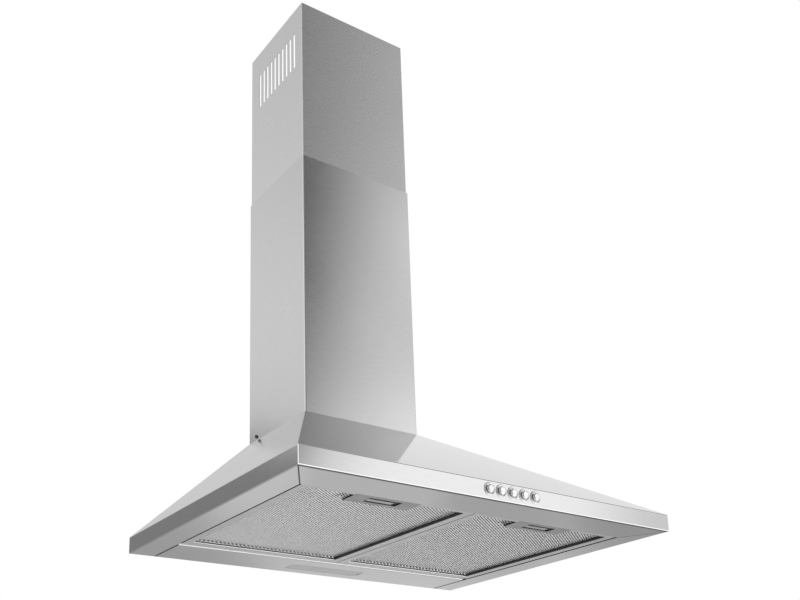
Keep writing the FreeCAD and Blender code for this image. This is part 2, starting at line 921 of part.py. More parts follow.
def make_chimney_bracket():
    edge = upper_width / 2 - size.sheet - size.bracket_gap
    z_span = (upper_top - size.bracket_drop - size.bracket_height, upper_top - size.bracket_drop)
    strip = box((-edge, edge), (-size.bracket_thick, 0), z_span)
    arms = [
        box(mirrored((edge - size.bracket_thick, edge), side), (-size.bracket_arm, 0), z_span)
        for side in (-1, 1)
    ]
    middle = (z_span[0] + z_span[1]) / 2
    span = (-size.bracket_thick - size.overrun, size.overrun)
    reach = size.bracket_hole_spacing / 2
    holes = [rod("y", size.bracket_hole_radius, span, side * reach, middle) for side in (-1, 1)]
    finish("chimney_bracket", cut(fuse(strip, *arms), *holes))


# Screws


def make_screws():
    chimney_level = canopy_top + size.chimney_screw_level
    tip = half_chimney - size.sheet - size.deck_gap - size.deck_thick - size.screw_grip
    finish("chimney_screws", group(*[
        screw("x", -side, side * half_chimney, side * tip, -size.chimney_screw_inset, chimney_level)
        for side in (-1, 1)
    ]))
    deck_tip = canopy_top - size.sheet - size.screw_grip
    finish("deck_screws", group(*[
        screw("z", -1, deck_top, deck_tip, x, y) for x, y in deck_screw_places
    ]))
    collar_seat = deck_top + size.collar_base_thick
    outlet_tip = canopy_top - size.outlet_flange_thick - size.screw_grip
    finish("outlet_screws", group(*[
        screw("z", -1, collar_seat, outlet_tip, x, y) for x, y in outlet_screw_places
    ]))
    lamp_seat = bay_half - size.lamp_panel_gap - size.sheet
    lamp_tip = bay_half + size.sheet + size.screw_grip
    finish("lamp_panel_screws", group(*[
        screw("x", side, side * lamp_seat, side * lamp_tip, y, size.lamp_screw_level)
        for side in (-1, 1)
        for y in lamp_screw_places
    ]))


# Blower


def make_blower_housing(label, side):
    full = (0, scroll_half)
    inner_span = mirrored((-size.overrun, throat_half), side)
    outside = size.scroll_radius + size.scroll_wall
    shell = fuse(
        rod("x", outside, mirrored(full, side), scroll_y, scroll_z),
        box(mirrored(full, side), grown(outlet_y_span, size.scroll_wall), (scroll_z, canopy_top)),
        box(
            mirrored((0, size.outlet_flange_width / 2), side),
            (outlet_y - size.outlet_flange_width / 2, outlet_y + size.outlet_flange_width / 2),
            (canopy_top - size.outlet_flange_thick, canopy_top),
        ),
    )
    hollow = rod("x", size.scroll_radius, inner_span, scroll_y, scroll_z)
    duct = box(inner_span, outlet_y_span, (scroll_z, canopy_top + size.overrun))
    inlet = rod("x", size.inlet_radius, mirrored((0, scroll_half + size.overrun), side), fan_y, fan_z)
    flange_span = grown((canopy_top - size.outlet_flange_thick, canopy_top), size.overrun)
    holes = [
        rod("z", screw_hole, flange_span, x, y) for x, y in outlet_screw_places if x.number * side > 0
    ]
    finish(label, cut(shell, hollow, duct, inlet, *holes))


def draw_ring(body, level, outer, inner, thick):
    """A flat ring about the body's X axis."""
    drawing = new_sketch(body, "YZ_Plane", level)
    draw_circle(drawing, outer)
    draw_circle(drawing, inner)
    return pad(body, drawing, thick)


def draw_bar(body, level, inner, outer, width, thick):
    """A flat radial bar, square to the body's X axis."""
    drawing = new_sketch(body, "YZ_Plane", level)
    draw_outline(drawing, [
        (inner, -width / 2),
        (outer, -width / 2),
        (outer, width / 2),
        (inner, width / 2),
    ])
    return pad(body, drawing, thick)


def make_impeller():
    body = new_body("impeller")
    bore = size.shaft_radius + size.shaft_play
    disc = size.impeller_disc
    half = size.impeller_width / 2
    rim_inner = size.impeller_radius - size.blade_depth
    draw_ring(body, -disc / 2, size.impeller_radius, bore, disc)
    draw_ring(body, -size.hub_length, size.hub_radius, bore, size.hub_length)
    blade = new_sketch(body, "YZ_Plane", -half)
    heel = rim_inner + size.blade_inset
    tip = size.impeller_radius - size.blade_inset
    draw_outline(blade, [
        (heel, -size.blade_thick / 2),
        (tip, size.blade_lean - size.blade_thick / 2),
        (tip, size.blade_lean + size.blade_thick / 2),
        (heel, size.blade_thick / 2),
    ])
    polar_pattern(body, pad(body, blade, size.impeller_width), "X_Axis", BLADE_COUNT)
    for level in (-half, half - size.impeller_rim):
        draw_ring(body, level, size.impeller_radius, rim_inner, size.impeller_rim)
    place(body, 0, fan_y, fan_z)
    finish("impeller", body)


def make_motor():
    can_span = (size.motor_gap, size.motor_gap + size.motor_length)
    rim_start = scroll_half + size.bracket_plate
    can = rod("x", size.motor_radius, can_span, fan_y, fan_z)
    rim = rod("x", size.motor_rim_radius, (rim_start, rim_start + size.motor_rim), fan_y, fan_z)
    bore_span = (can_span[0] - size.overrun, can_span[0] + size.motor_bore_depth)
    bore = rod("x", size.shaft_radius + size.shaft_play, bore_span, fan_y, fan_z)
    finish("motor", cut(fuse(can, rim), bore))
    shaft_span = (
        -size.hub_length - size.shaft_overhang,
        can_span[0] + size.motor_bore_depth - size.shaft_end_gap,
    )
    finish("motor_shaft", rod("x", size.shaft_radius, shaft_span, fan_y, fan_z))


def make_motor_bracket():
    body = new_body("motor_bracket")
    plate = size.bracket_plate
    ring_inner = size.inlet_radius + size.bracket_ring_gap
    draw_ring(body, scroll_half, ring_inner + size.bracket_ring, ring_inner, plate)
    hub = size.motor_radius + size.motor_fit
    arm = draw_bar(body, scroll_half, hub + plate / 2, ring_inner + plate / 2, size.arm_width, plate)
    polar_pattern(body, arm, "X_Axis", ARM_COUNT)
    draw_ring(body, scroll_half, hub + plate, hub, plate)
    place(body, 0, fan_y, fan_z)
    finish("motor_bracket", body)


def make_inlet_grille():
    body = new_body("inlet_grille")
    level = -scroll_half - size.grille_thick
    wire = size.grille_ring
    rim_inner = size.inlet_radius - wire
    draw_ring(body, level, rim_inner + size.bracket_ring, rim_inner, size.grille_thick)
    spoke = draw_bar(
        body, level, size.grille_inner_radius + wire / 2, rim_inner + wire,
        size.spoke_width, size.grille_thick,
    )
    polar_pattern(body, spoke, "X_Axis", SPOKE_COUNT)
    for radius in (size.grille_inner_radius, size.grille_middle_radius):
        draw_ring(body, level, radius + wire, radius, size.grille_thick)
    place(body, 0, fan_y, fan_z)
    finish("inlet_grille", body)


# Outlet


def make_outlet_collar():
    base_half = size.outlet_flange_width / 2 + size.collar_base_margin
    bore = size.collar_radius - size.collar_wall
    base_top = deck_top + size.collar_base_thick
    collar_top = deck_top + size.collar_height
    base = box(
        (-base_half, base_half), (outlet_y - base_half, outlet_y + base_half), (deck_top, base_top))
    tube = rod("z", size.collar_radius, (deck_top, collar_top), 0, outlet_y)
    inside = rod("z", bore, grown((deck_top, collar_top), size.overrun), 0, outlet_y)
    shell = cut(fuse(base, tube), inside)
    seat_top = flap_z - size.flap_thick / 2 - size.flap_seat_gap
    seat_span = (seat_top - size.flap_seat_height, seat_top)
    seat_ring = rod("z", size.collar_radius - size.collar_wall / 2, seat_span, 0, outlet_y)
    seat_bore = rod("z", bore - size.flap_seat_width, grown(seat_span, size.overrun), 0, outlet_y)
    reach = size.collar_radius + size.overrun
    pin_hole = rod("x", size.flap_pin_radius, (-reach, reach), outlet_y, flap_z)
    through = grown((deck_top, base_top), size.overrun)
    holes = [rod("z", screw_hole, through, x, y) for x, y in outlet_screw_places]
    finish("outlet_collar", cut(fuse(shell, cut(seat_ring, seat_bore)), pin_hole, *holes))
    pin_span = (-size.collar_radius, size.collar_radius)
    finish("flap_pin", rod("x", size.flap_pin_radius, pin_span, outlet_y, flap_z))


def make_flap(label, side, knuckle_spans):
    """Half a disc with its knuckles on the pin; the rear flap's side is +1, the front one's -1."""
    radius = size.collar_radius - size.collar_wall - size.flap_gap
    z_span = (flap_z - size.flap_thick / 2, flap_z + size.flap_thick / 2)
    reach = mirrored((size.flap_root, radius), side)
    half = box((-radius, radius), (outlet_y + reach[0], outlet_y + reach[1]), z_span)
    plate = common(rod("z", radius, z_span, 0, outlet_y), half)
    leaf = mirrored((as_size(0), size.flap_root + size.flap_thick), side)
    knuckles = []
    for span in knuckle_spans:
        knuckles.append(rod("x", size.knuckle_radius, span, outlet_y, flap_z))
        knuckles.append(box(span, (outlet_y + leaf[0], outlet_y + leaf[1]), z_span))
    bore = size.flap_pin_radius + size.flap_pin_play
    pin_hole = rod("x", bore, (-radius, radius), outlet_y, flap_z)
    finish(label, cut(fuse(plate, *knuckles), pin_hole))


def make_flaps():
    inner = size.knuckle_length
    outer = inner + size.knuckle_gap
    far = outer + size.knuckle_length
    make_flap("flap_front", -1, [(-inner, inner)])
    make_flap("flap_rear", 1, [(-far, -outer), (outer, far)])


# Lamp


def make_lamp():
    outer_x = grown(lens_x_span, size.lamp_margin)
    outer_y = grown(lens_y_span, size.lamp_margin)
    lamp_top = size.sheet + size.lamp_height
    ceiling = lamp_top - size.lamp_wall
    shell = box(outer_x, outer_y, (size.sheet, lamp_top))
    hollow = box(
        grown(outer_x, -size.lamp_wall),
        grown(outer_y, -size.lamp_wall),
        (size.sheet - size.overrun, ceiling),
    )
    finish("lamp_housing", cut(shell, hollow))
    board_under = ceiling - size.board_thick
    board = box(
        grown(lens_x_span, -size.board_margin),
        grown(lens_y_span, -size.board_margin),
        (board_under, ceiling),
    )
    half_led = size.led_size / 2
    leds = []
    for index in range(LED_COUNT):
        x = size.lens_shift + size.led_pitch * (index - (LED_COUNT - 1) / 2)
        leds.append(box(
            (x - half_led, x + half_led),
            (-size.lens_setback - half_led, half_led - size.lens_setback),
            (board_under - size.led_thick, board_under),
        ))
    finish("led_board", fuse(board, *leds))
    lens = rounded_block(lens_x_span, lens_y_span, (as_size(0), size.lens_thick), size.lens_corner)
    notch = box(
        (lens_x_span[1] - size.notch_width, lens_x_span[1] + size.overrun),
        (-size.lens_setback - size.notch_length / 2, size.notch_length / 2 - size.lens_setback),
        (-size.overrun, size.lens_thick + size.overrun),
    )
    finish("lamp_lens", cut(lens, notch))


# Grease filters


def make_filter(name, side):
    x_span = mirrored((size.filter_gap / 2, bay_half - size.filter_side_play), side)
    middle = (x_span[0] + x_span[1]) / 2 - size.latch_shift
    y_span = (-filter_front, hinge_y - size.bead_setback)
    z_span = (size.filter_level, filter_top)
    wall = size.filter_wall
    channel_x = grown(x_span, -wall)
    channel_y = grown(y_span, -wall)
    channel_z = (mesh_level, filter_top - wall)
    # the latch housing takes the place of the border near the middle of the front edge
    plate_front = -filter_front + wall + size.latch_front_gap
    plate_y = (plate_front, plate_front + size.latch_plate_width)
    plate_x = (middle - size.latch_plate_length / 2, middle + size.latch_plate_length / 2)
    latch_room = (grown(plate_x, size.latch_fit), (channel_y[0], plate_y[1] + size.latch_fit))
    plate_top = size.filter_level + size.latch_depth
    tongue_z0 = size.front_lip + size.tongue_lift
    tongue_z = (tongue_z0, tongue_z0 + size.tongue_thick)
    tongue_x = (middle - size.tongue_length / 2, middle + size.tongue_length / 2)
    tongue_hole = box(
        grown(tongue_x, size.latch_fit),
        (-filter_front - size.overrun, plate_front + size.latch_wall + size.overrun),
        grown(tongue_z, size.latch_fit),
    )

    # frame: a channel all round, with the round bead along its rear edge
    ring = cut(
        box(x_span, y_span, z_span),
        box(channel_x, channel_y, channel_z),
        box(
            grown(x_span, -size.filter_border),
            (y_span[0] + size.filter_front_border, y_span[1] - size.filter_border),
            grown(z_span, size.overrun)),
    )
    bead = rod("x", size.bead_radius, x_span, hinge_y, size.hinge_level)
    web_z = (size.hinge_level - size.bead_web / 2, size.hinge_level + size.bead_web / 2)
    web = box(x_span, (y_span[1], hinge_y), web_z)
    room = box(*latch_room, (size.filter_level - size.overrun, plate_top + size.latch_fit))
    finish(f"{name}_frame", cut(fuse(ring, bead, web), room, tongue_hole))

    # face mesh and core lie in the channel
    sheet_x = grown(channel_x, -size.filter_fit)
    sheet_y = grown(channel_y, -size.filter_fit)
    mesh_z = (mesh_level, mesh_level + size.filter_mesh)
    core_z = (mesh_z[1], mesh_z[1] + size.filter_core)
    full_room = (*latch_room, grown(z_span, size.overrun))
    finish(f"{name}_mesh", cut(box(sheet_x, sheet_y, mesh_z), box(*full_room)))
    finish(f"{name}_core", cut(box(sheet_x, sheet_y, core_z), box(*full_room)))

    # latch housing: floor with the finger slot, front and rear wall, open ends
    floor_z = (size.filter_level, size.filter_level + size.latch_floor)
    block = box(plate_x, plate_y, (size.filter_level, plate_top))
    trough = box(
        grown(plate_x, size.overrun),
        grown(plate_y, -size.latch_wall),
        (floor_z[1], plate_top + size.overrun),
    )
    slot_y0 = plate_front + size.finger_slot_inset
    slot_y = (slot_y0, slot_y0 + size.finger_slot_width)
    slot = box(
        (middle - size.finger_slot_length / 2, middle + size.finger_slot_length / 2),
        slot_y,
        grown(floor_z, size.overrun),
    )
    finish(f"{name}_latch_housing", cut(block, trough, slot, tongue_hole))

    # latch, drawn back: slider with a finger pad in the slot and a tongue at the front
    slider_z0 = floor_z[1] + size.slider_lift
    slider_z = (slider_z0, slider_z0 + size.slider_thick)
    slider_front = plate_front + size.latch_wall + size.latch_travel + size.latch_fit
    slider_back = plate_y[1] - size.latch_wall - size.latch_spring_length
    half_boss = size.slider_boss_length / 2
    pad_y1 = slot_y[1] - size.finger_pad_gap
    pad_middle = middle - size.finger_pad_shift
    slider = fuse(
        box(
            (middle - size.slider_length / 2, middle + size.slider_length / 2),
            (slider_front, slider_back), slider_z),
        box(tongue_x, (slider_front, slider_front + size.slider_boss), (slider_z[0], tongue_z[1])),
        box(tongue_x, (-filter_front, slider_front + size.slider_boss), tongue_z),
        box(
            (middle - half_boss, middle + half_boss),
            (slider_back - size.slider_boss, slider_back), (slider_z[0], tongue_z[1])),
        box(
            (pad_middle - size.finger_pad_length / 2, pad_middle + size.finger_pad_length / 2),
            (pad_y1 - size.finger_pad_width, pad_y1),
            (size.filter_level + size.finger_pad_recess, slider_z[1])),
    )
    finish(f"{name}_latch", slider)
    coil_length = size.latch_spring_length - 2 * (size.latch_spring_wire + size.spring_end_gap)
    spring = coil(
        size.latch_spring_radius, size.latch_spring_wire, size.latch_spring_pitch, coil_length, "y")
    spring_z = (slider_z[0] + tongue_z[1]) / 2
    place(spring, middle, slider_back + size.latch_spring_wire + size.spring_end_gap, spring_z)
    finish(f"{name}_latch_spring", spring)


# Push buttons


def make_button(label, x):
    """A button turned about its own Y axis, from its rounded face to the end of its stem."""
    body = new_body("button")
    face = -size.canopy_depth - size.button_proud
    shoulder = size.sheet + size.button_collar_gap - size.canopy_depth
    body_end = shoulder + size.button_body
    stem_end = body_end + size.button_stem
    drawing = new_sketch(body, "YZ_Plane")
    draw_outline(drawing, [
        (face, as_size(0)),
        (face, size.button_radius),
        (shoulder, size.button_radius),
        (shoulder, size.button_collar_radius),
        (body_end, size.button_collar_radius),
        (body_end, size.button_stem_radius),
        (stem_end, size.button_stem_radius),
        (stem_end, as_size(0)),
    ])
    turned = body.newObject("PartDesign::Revolution", "turned")
    turned.Profile = drawing
    turned.ReferenceAxis = (drawing, ["H_Axis"])
    turned.Angle = 360
    round_edges(body, turned, size.button_round, [(0, face, size.button_radius)])
    place(body, x, 0, size.button_level)
    finish(label, body)


def make_controls():
    for label, x in zip(BUTTON_NAMES, button_places):
        make_button(label, x)
    # bezels: half-round rings on the face of the band
    rings = []
    reach = size.bezel_ring_radius + 2 * size.bezel_wire
    for x in button_places:
        ring = doc.addObject("Part::Torus", "ring")
        bind(ring, "Radius1", size.bezel_ring_radius)
        bind(ring, "Radius2", size.bezel_wire)
        ring.Placement = FreeCAD.Placement(FreeCAD.Vector(), AXIS_TURNS["y"])
        place(ring, x, -size.canopy_depth, size.button_level)
        ahead = box(
            (x - reach, x + reach),
            (-size.canopy_depth - reach, -size.canopy_depth),
            (size.button_level - reach, size.button_level + reach),
        )
        rings.append(common(ring, ahead))
    finish("button_bezels", group(*rings))
    # switch block: one stepped bore for each button
    front = size.sheet - size.canopy_depth
    block = box(
        switch_x_span, (front, -switch_back), (size.sheet, size.skirt_height - size.switch_top_gap))
    bore_end = front + size.switch_bore_depth
    bore = size.button_collar_radius + size.switch_bore_play
    guide = size.button_stem_radius + size.button_play
    bores = []
    body_end = front + size.button_collar_gap + size.button_body
    coil_start = body_end + size.button_spring_wire + size.spring_end_gap
    coil_length = bore_end - body_end - 2 * (size.button_spring_wire + size.spring_end_gap)
    for label, x in zip(BUTTON_NAMES, button_places):
        bores.append(rod("y", bore, (front - size.overrun, bore_end), x, size.button_level))
        bores.append(rod("y", guide, (front, size.overrun - switch_back), x, size.button_level))
        spring = coil(
            size.button_spring_radius, size.button_spring_wire, size.button_spring_pitch, coil_length, "y")
        finish(f"{label}_spring", place(spring, x, coil_start, size.button_level))
    finish("switch_housing", cut(block, *bores))


# Electrics


def make_terminal_box():
    x_span = terminal_x_span
    y_span = (-size.terminal_back - size.terminal_depth, -size.terminal_back)
    wall = size.terminal_wall
    box_top = size.sheet + size.terminal_height
    shell = box(x_span, y_span, (size.sheet, box_top))
    hollow = box(grown(x_span, -wall), grown(y_span, -wall), (size.sheet + wall, box_top + size.overrun))
    finish("terminal_box", cut(shell, hollow))
    finish("terminal_box_cover", box(x_span, y_span, (box_top, box_top + wall)))
    middle_x = (x_span[0] + x_span[1]) / 2
    middle_y = (y_span[0] + y_span[1]) / 2
    half = size.capacitor_length / 2
    level = size.sheet + wall + size.capacitor_radius
    can = rod("x", size.capacitor_radius, (middle_x - half, middle_x + half), middle_y, level)
    cap_span = (middle_x + half, middle_x + half + size.capacitor_cap)
    cap = rod("x", size.capacitor_radius - size.capacitor_cap, cap_span, middle_y, level)
    finish("capacitor", fuse(can, cap))


def make_grommet():
    rim = size.grommet_rim_thick
    place_xy = (grommet_x, -size.grommet_back)
    neck = rod("z", size.grommet_neck, (canopy_top, deck_top), *place_xy)
    under = rod("z", size.grommet_rim, (canopy_top - rim, canopy_top), *place_xy)
    over = rod("z", size.grommet_rim, (deck_top, deck_top + rim), *place_xy)
    bore = rod("z", size.grommet_bore, grown((canopy_top - rim, deck_top + rim), size.overrun), *place_xy)
    finish("mains_grommet", cut(fuse(neck, under, over), bore))


def lead(label, route, radius, bend):
    """A round lead along straight runs joined by tangent arcs."""
    points = [FreeCAD.Vector(*[as_size(value).number for value in point]) for point in route]
    edges = []
    start = points[0]
    for before, corner, after in zip(points, points[1:], points[2:]):
        toward = (before - corner).normalize()
        onward = (after - corner).normalize()
        half_turn = toward.getAngle(onward) / 2
        setback = bend.number / math.tan(half_turn)
        arc_start = corner + toward * setback
        arc_end = corner + onward * setback
        bisector = (toward + onward).normalize()
        depth = bend.number / math.sin(half_turn) - bend.number
        edges.append(Part.LineSegment(start, arc_start).toShape())
        edges.append(Part.Arc(arc_start, corner + bisector * depth, arc_end).toShape())
        start = arc_end
    edges.append(Part.LineSegment(start, points[-1]).toShape())
    path = Part.Wire(edges)
    circle = Part.Circle(points[0], points[1] - points[0], radius.number)
    section = Part.Wire([circle.toShape()])
    item = doc.addObject("Part::Feature", "lead")
    item.Shape = path.makePipeShell([section], True, False)
    expected = math.pi * radius.number ** 2 * path.Length
    print(f"{label}: volume {item.Shape.Volume:.0f}, section times length {expected:.0f}")
    finish(label, item)


def make_leads():
    terminal_y = -size.terminal_back - size.terminal_depth / 2
    cover_top = size.sheet + size.terminal_height + size.terminal_wall
    # from the switch block along the front and right flanges to the terminal box
    switch_level = size.sheet + size.switch_lead_level
    box_level = size.sheet + size.terminal_lead_level
    lane_x = half_width - size.sheet - size.lead_wall_gap
    lane_y = -(switch_back + size.switch_depth / 2)
    lead("switch_cable", [
        (switch_x_span[1], lane_y, switch_level),
        (lane_x, lane_y, switch_level),
        (lane_x, terminal_y, box_level),
        (terminal_x_span[1], terminal_y, box_level),
    ], size.lead_radius, size.lead_bend)
    # from the terminal box up and across to the end of the motor
    motor_end = size.motor_gap + size.motor_length
    riser_x = (terminal_x_span[0] + terminal_x_span[1]) / 2
    lead("motor_cable", [
        (riser_x, terminal_y, cover_top),
        (riser_x, terminal_y, fan_z),
        (riser_x, fan_y, fan_z),
        (motor_end, fan_y, fan_z),
    ], size.lead_radius, size.motor_lead_bend)
    finish("lamp_cable", rod(
        "x", size.lamp_lead_radius, (lamp_end, terminal_x_span[0]),
        -size.lens_setback, size.sheet + size.lamp_lead_level,
    ))


make_front_panel()
make_side_panel("canopy_left_panel", -1)
make_side_panel("canopy_right_panel", 1)
make_back_plate()
make_lamp_panel()
make_filter_rail()
make_top_frame()
make_lower_chimney()
make_upper_chimney()
make_chimney_guides()
make_chimney_bracket()
make_screws()
make_blower_housing("blower_housing_left", -1)
make_blower_housing("blower_housing_right", 1)
make_impeller()
make_motor()
make_motor_bracket()
make_inlet_grille()
make_outlet_collar()
make_flaps()
make_lamp()
make_filter("filter_left", -1)
make_filter("filter_right", 1)
make_controls()
make_terminal_box()
make_grommet()
make_leads()

doc.recompute()

failed = [item.Label for item in doc.Objects if {"Invalid", "Error"} & set(item.State)]
unsound = [item.Label for item in pieces if item.Shape.isNull() or not item.Shape.isValid()]
if failed or unsound:
    raise RuntimeError(f"failed features: {failed}; unsound pieces: {unsound}")

os.makedirs("parts", exist_ok=True)
for piece in pieces:
    piece.Shape.exportStep(os.path.join("parts", f"{piece.Label}.step"))
print(f"{len(pieces)} pieces written")
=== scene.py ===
"""Looks of the wall range hood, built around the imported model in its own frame, in metres."""

import json
import math
from collections import namedtuple

import bmesh
import bpy
from mathutils import Matrix, Vector


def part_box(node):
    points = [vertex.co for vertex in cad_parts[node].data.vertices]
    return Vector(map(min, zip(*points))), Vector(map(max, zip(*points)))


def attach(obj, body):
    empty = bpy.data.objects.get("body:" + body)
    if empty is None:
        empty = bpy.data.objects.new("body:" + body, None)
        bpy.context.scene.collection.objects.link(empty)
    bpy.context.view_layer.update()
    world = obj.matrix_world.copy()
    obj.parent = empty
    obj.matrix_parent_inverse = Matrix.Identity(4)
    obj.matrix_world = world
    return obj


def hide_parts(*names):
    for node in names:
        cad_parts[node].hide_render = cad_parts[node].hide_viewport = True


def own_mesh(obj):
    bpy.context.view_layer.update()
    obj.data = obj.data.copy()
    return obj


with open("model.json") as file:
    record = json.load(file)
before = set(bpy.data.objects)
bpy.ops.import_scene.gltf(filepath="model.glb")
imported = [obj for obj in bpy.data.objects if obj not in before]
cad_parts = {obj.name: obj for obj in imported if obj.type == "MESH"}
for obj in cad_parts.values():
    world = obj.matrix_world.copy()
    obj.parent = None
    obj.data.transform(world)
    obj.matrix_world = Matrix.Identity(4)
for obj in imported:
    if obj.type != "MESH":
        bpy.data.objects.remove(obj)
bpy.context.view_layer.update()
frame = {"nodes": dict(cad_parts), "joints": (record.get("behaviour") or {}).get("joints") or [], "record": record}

MM = 0.001

# Camera, solved from the corners of the hood in the photograph
IMAGE_WIDTH = 800
IMAGE_HEIGHT = 600
FOCAL_PIXELS = 1023.6
CENTRE_PIXEL = (347.9, 527.2)
SENSOR_WIDTH = 36.0
VIEW_TURN = math.radians(-33.766)
VIEW_TILT = math.radians(-14.57)
VIEW_ROLL = math.radians(1.169)
VIEW_DISTANCE = 1.46723
VIEW_TARGET = Vector((-0.05023, -0.2, 0.02568))

# Room as the metal shows it: tones by the upward part of a direction, under soft-edged round patches.
# A patch has its middle and the radii of its soft edge in degrees, and a tone.
# Azimuth counts from the front, positive to the right.
ROOM_TONE = 0.95
GROUND_TONE = 0.64
GROUND_EDGE = (-0.225, -0.1)
NEAR_GROUND_TONE = 0.92
NEAR_GROUND_EDGE = (-0.36, -0.305)
Patch = namedtuple("Patch", "azimuth elevation inner outer tone")
ROOM_PATCHES = {
    "dark side": Patch(-20, 27, 44.4, 49.5, 0.1),
    "dark middle": Patch(-24, 28, 20, 38, 0.55),
    "dark corner": Patch(-154, -21, 39.5, 42, 0.29),
    "dark low corner": Patch(-162, -36, 24, 32, 0.02),
    "corner middle": Patch(-150, -38, 20, 34, 0.6),
    "dark above": Patch(76, 52, 14, 24, 0.12),
    "dim behind": Patch(172, 27, 15, 27, 0.68),
    "dim over left": Patch(-150, 54, 8, 28, 0.7),
    "dim low right": Patch(127, -14.5, 3.5, 8.5, 0.4),
    "dim low middle": Patch(137.5, -14.5, 1.5, 4.5, 0.5),
    "dim low left": Patch(158, -9, 5, 9, 0.42),
    "low behind": Patch(152, -18, 2, 4, 0.76),
    "dark under": Patch(126, -47, 15, 19, 0.08),
    "bright behind": Patch(133, 27.5, 10, 18, 1.22),
    "high box": Patch(42.5, 30, 1.5, 3.8, 1.65),
    "soft box": Patch(41, 15, 4, 10, 1.4),
    "low box": Patch(42, -24, 22, 32, 1.8),
    "left box": Patch(-98, 20, 12, 22, 1.8),
}

# Light on matt surfaces, white behind the hood, and the floor that fades to it
PLAIN_LIGHT = 0.85
WHITE = 1.0
FLOOR_DROP = 0.75
FLOOR_REACH = 9.0
FLOOR_SIDES = 64
FLOOR_FADE = (1.2, 4.0)

# Textures: the span of their values that is used, and the depth of their relief
TEXTURE_SPAN = (0.3, 0.7)
RELIEF_DEPTH = 0.1 * MM
FINE_RELIEF_DEPTH = 0.05 * MM

# Painted shade lines on the canopy's underside, along its front fold and mitres: their tone, and the height at
# which they end
PAINTED_SHADE_TONE = 0.06
PAINTED_SHADE_RISE = (0.25 * MM, 0.5 * MM)

# Where the painted shade line of the front fold ends, behind the canopy's front
FOLD_DEPTHS = (2.5 * MM, 5.5 * MM)

# Painted shade line along the mitres, from the front corners inward: run sideways and backward, shift backward,
# half widths, and where it ends behind the canopy's front
MITRE_RUN = (38, 60)
MITRE_SHIFT = 0.4 * MM
SEAM_HALF_WIDTHS = (0.8 * MM, 1.0 * MM)
SEAM_DEPTHS = (60.5 * MM, 61 * MM)

# Height at which the canopy's band passes into the slope
BAND_TOP = (24 * MM, 26 * MM)

# Face mesh of the grease filters: slit and stretched sheet with diamond openings
DIAMOND_X = 6.4 * MM
DIAMOND_Y = 4.6 * MM
STRAND_WIDTH = 1.55 * MM
STRAND_THICKNESS = 0.3 * MM
RISING_TWIST = math.radians(-9)
FALLING_TWIST = math.radians(10)
NOTCH_MARGIN = 0.6 * MM
MESH_INSET = 1.2 * MM
MESH_END_GAP = 0.3 * MM
DIP_LENGTH = 11 * MM
DIP_DEPTH = 2.9 * MM
REAR_DIP_LENGTH = 3.2 * MM
REAR_DIP_DEPTH = 2.1 * MM
NEAR = 0.05 * MM

# Strips: black strips of painted shade along the inner walls of the filter frames and beside the frames, and the
# rear trim
STRIP_STEPS = 6
BORDER = 12 * MM
FRONT_BORDER = 6.5 * MM
SHADE_STRIP_THICKNESS = 0.8 * MM
STRIP_GAP = 0.4 * MM
BAY_SHADE_LEVELS = (1.2 * MM, 4 * MM)
BAY_SHADE_WIDTH = 2.4 * MM
BAY_SHADE_GAP = 0.4 * MM
TRIM_HEIGHT = 0.9 * MM
REAR_SHADE_HEIGHT = 1.5 * MM

# Black edge of painted shade at the left end of each latch plate, and the black ring of painted shade round its
# finger pad
SHADE_EDGE_LEVELS = (0.1 * MM, 1.8 * MM)
SHADE_EDGE_THICKNESS = 0.15 * MM
SHADOW_RING_THICKNESS = 0.15 * MM
SHADOW_RING_MARGIN = 0.5 * MM
SLIDER_DEPTH = 20.1 * MM
PAD_LENGTH = 38 * MM
PAD_WIDTH = 7.4 * MM
PAD_SHIFT = 4 * MM
PAD_INSET = 6.6 * MM
PAD_FIT = 0.1 * MM
SLIDER_LEVEL = 1.95 * MM

# Brushed sheets: directions along and across the grain, tone, colour and relief of the streaks, roughness,
# and the share of the grazing mirror light that is kept above the band
Sheet = namedtuple("Sheet", "along across tone streak relief roughness grazing")
SHEETS = {
    "canopy_front_panel": Sheet((1, 0, 0), (0, 1, 1), 0.6, 0.03, 0.03, 0.06, 0.68),
    "canopy_left_panel": Sheet((0, 1, 0), (1, 0, 1), 0.6, 0.03, 0.03, 0.12, 1.0),
    "canopy_right_panel": Sheet((0, 1, 0), (-1, 0, 1), 0.6, 0.03, 0.03, 0.12, 1.0),
    "lamp_panel": Sheet((1, 0, 0), (0, 1, 1), 0.6, 0.03, 0.03, 0.12, 1.0),
    # painted shade and painted light: the lower chimney's tone is set darker and the upper chimney's lighter than
    # the canopy's, for the way each cover catches the room, not a difference of the steel
    "lower_chimney": Sheet((1, 1, 0), (0, 0, 1), 0.58, 0.03, 0.12, 0.15, 1.0),
    "upper_chimney": Sheet((1, 1, 0), (0, 0, 1), 0.62, 0.03, 0.03, 0.27, 1.0),
}


